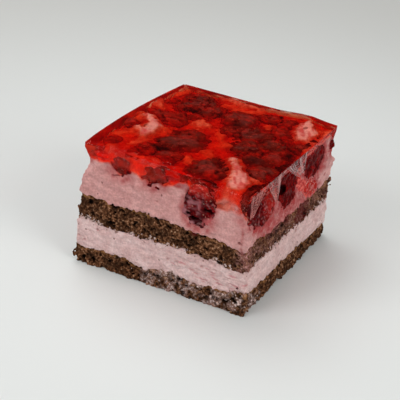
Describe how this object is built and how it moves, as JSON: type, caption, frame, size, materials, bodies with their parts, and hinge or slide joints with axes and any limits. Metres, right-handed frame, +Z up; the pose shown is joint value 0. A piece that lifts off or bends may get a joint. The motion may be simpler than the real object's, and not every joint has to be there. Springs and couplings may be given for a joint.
{
  "type": "raspberry sponge slice",
  "caption": "Square-cut slice of layer cake: chocolate sponge, raspberry cream, chocolate sponge, raspberry mousse and clear red jelly over whole raspberries.",
  "frame": {"origin": "centre of the slice's footprint on the surface it rests on", "axes": "+Z up through the layers, -Y towards the front cut side, +X towards the right cut side"},
  "size_m": [0.0632, 0.0674, 0.0426],
  "materials": {
    "sponge": "matt open chocolate sponge crumb",
    "cream": "matt pale pink whipped cream with knife streaks",
    "mousse": "matt pink raspberry mousse, redder where juice soaks in",
    "jelly": "clear glossy red jelly",
    "raspberry": "moist dark red raspberry, cut open"
  },
  "bodies": {
    "root": {"base_sponge": "sponge", "lower_cream": "cream", "middle_sponge": "sponge", "raspberry_mousse": "mousse", "jelly": "jelly", "raspberry_front_1": "raspberry", "raspberry_front_2": "raspberry", "raspberry_front_3": "raspberry", "raspberry_right_1": "raspberry", "raspberry_right_2": "raspberry", "raspberry_right_3": "raspberry", "raspberry_right_4": "raspberry", "raspberry_right_5": "raspberry", "raspberry_back_1": "raspberry", "raspberry_back_2": "raspberry", "raspberry_left_1": "raspberry", "raspberry_left_2": "raspberry"}
  },
  "joints": []
}
